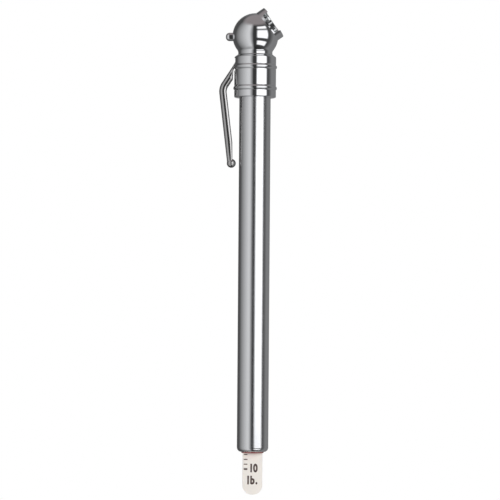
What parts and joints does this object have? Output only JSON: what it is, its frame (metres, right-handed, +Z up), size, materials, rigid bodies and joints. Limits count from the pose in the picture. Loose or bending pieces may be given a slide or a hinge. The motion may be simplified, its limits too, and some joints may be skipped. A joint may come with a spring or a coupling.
{
  "type": "tire pressure gauge",
  "caption": "Pencil-shaped tyre pressure gauge: angled valve mouth on a ball head, pocket clip, plated barrel and a white sliding scale bar.",
  "frame": {"origin": "on the barrel's axis, where its straight wall meets the rolled-in lower edge", "axes": "+Z up along the barrel to the head; +X on the side that the valve mouth leans to; +Y away from the side with the rim notch and the printed scale"},
  "size_m": [0.0193, 0.0138, 0.1473],
  "materials": {
    "chrome_plate": "bright chrome plate",
    "spring_steel": "drawn and oiled",
    "turned_brass": "turned",
    "seal_rubber": "moulded",
    "bar_nylon": "extruded, printed scale",
    "bushing_plastic": "moulded",
    "washer_fibre": "punched fibre"
  },
  "bodies": {
    "barrel": {"barrel_tube": "chrome_plate", "collar_sleeve": "chrome_plate", "chuck_head": "chrome_plate", "deflator_pin": "chrome_plate", "inlet_seal": "seal_rubber", "depressor_pin": "turned_brass", "head_gasket": "seal_rubber", "clip_band": "spring_steel", "calibrated_spring": "spring_steel", "spring_seat_washer": "spring_steel", "friction_washer": "washer_fibre", "guide_bushing": "bushing_plastic"},
    "piston": {"piston_body": "turned_brass", "piston_cup": "seal_rubber", "cup_washer": "spring_steel", "piston_screw": "spring_steel"},
    "bar": {"indicator_bar": "bar_nylon"},
    "clip": {"pocket_clip": "chrome_plate"}
  },
  "joints": [
    {"name": "piston_travel", "type": "slide", "parent": "barrel", "child": "piston", "axis": [0, 0, -1], "range_m": [0, 0.0628], "stiffness_N_per_m": 281, "springref_m": -0.0102, "deforming": ["calibrated_spring"]},
    {"name": "bar_slide", "type": "slide", "parent": "piston", "child": "bar", "axis": [0, 0, -1], "range_m": [-0.0096, 0.014]},
    {"name": "clip_flex", "type": "hinge", "parent": "barrel", "child": "clip", "pos_m": [-0.00547, 0, 0.1169], "axis": [0, 1, 0], "range_deg": [0, 6], "stiffness_Nm_per_rad": 3}
  ]
}
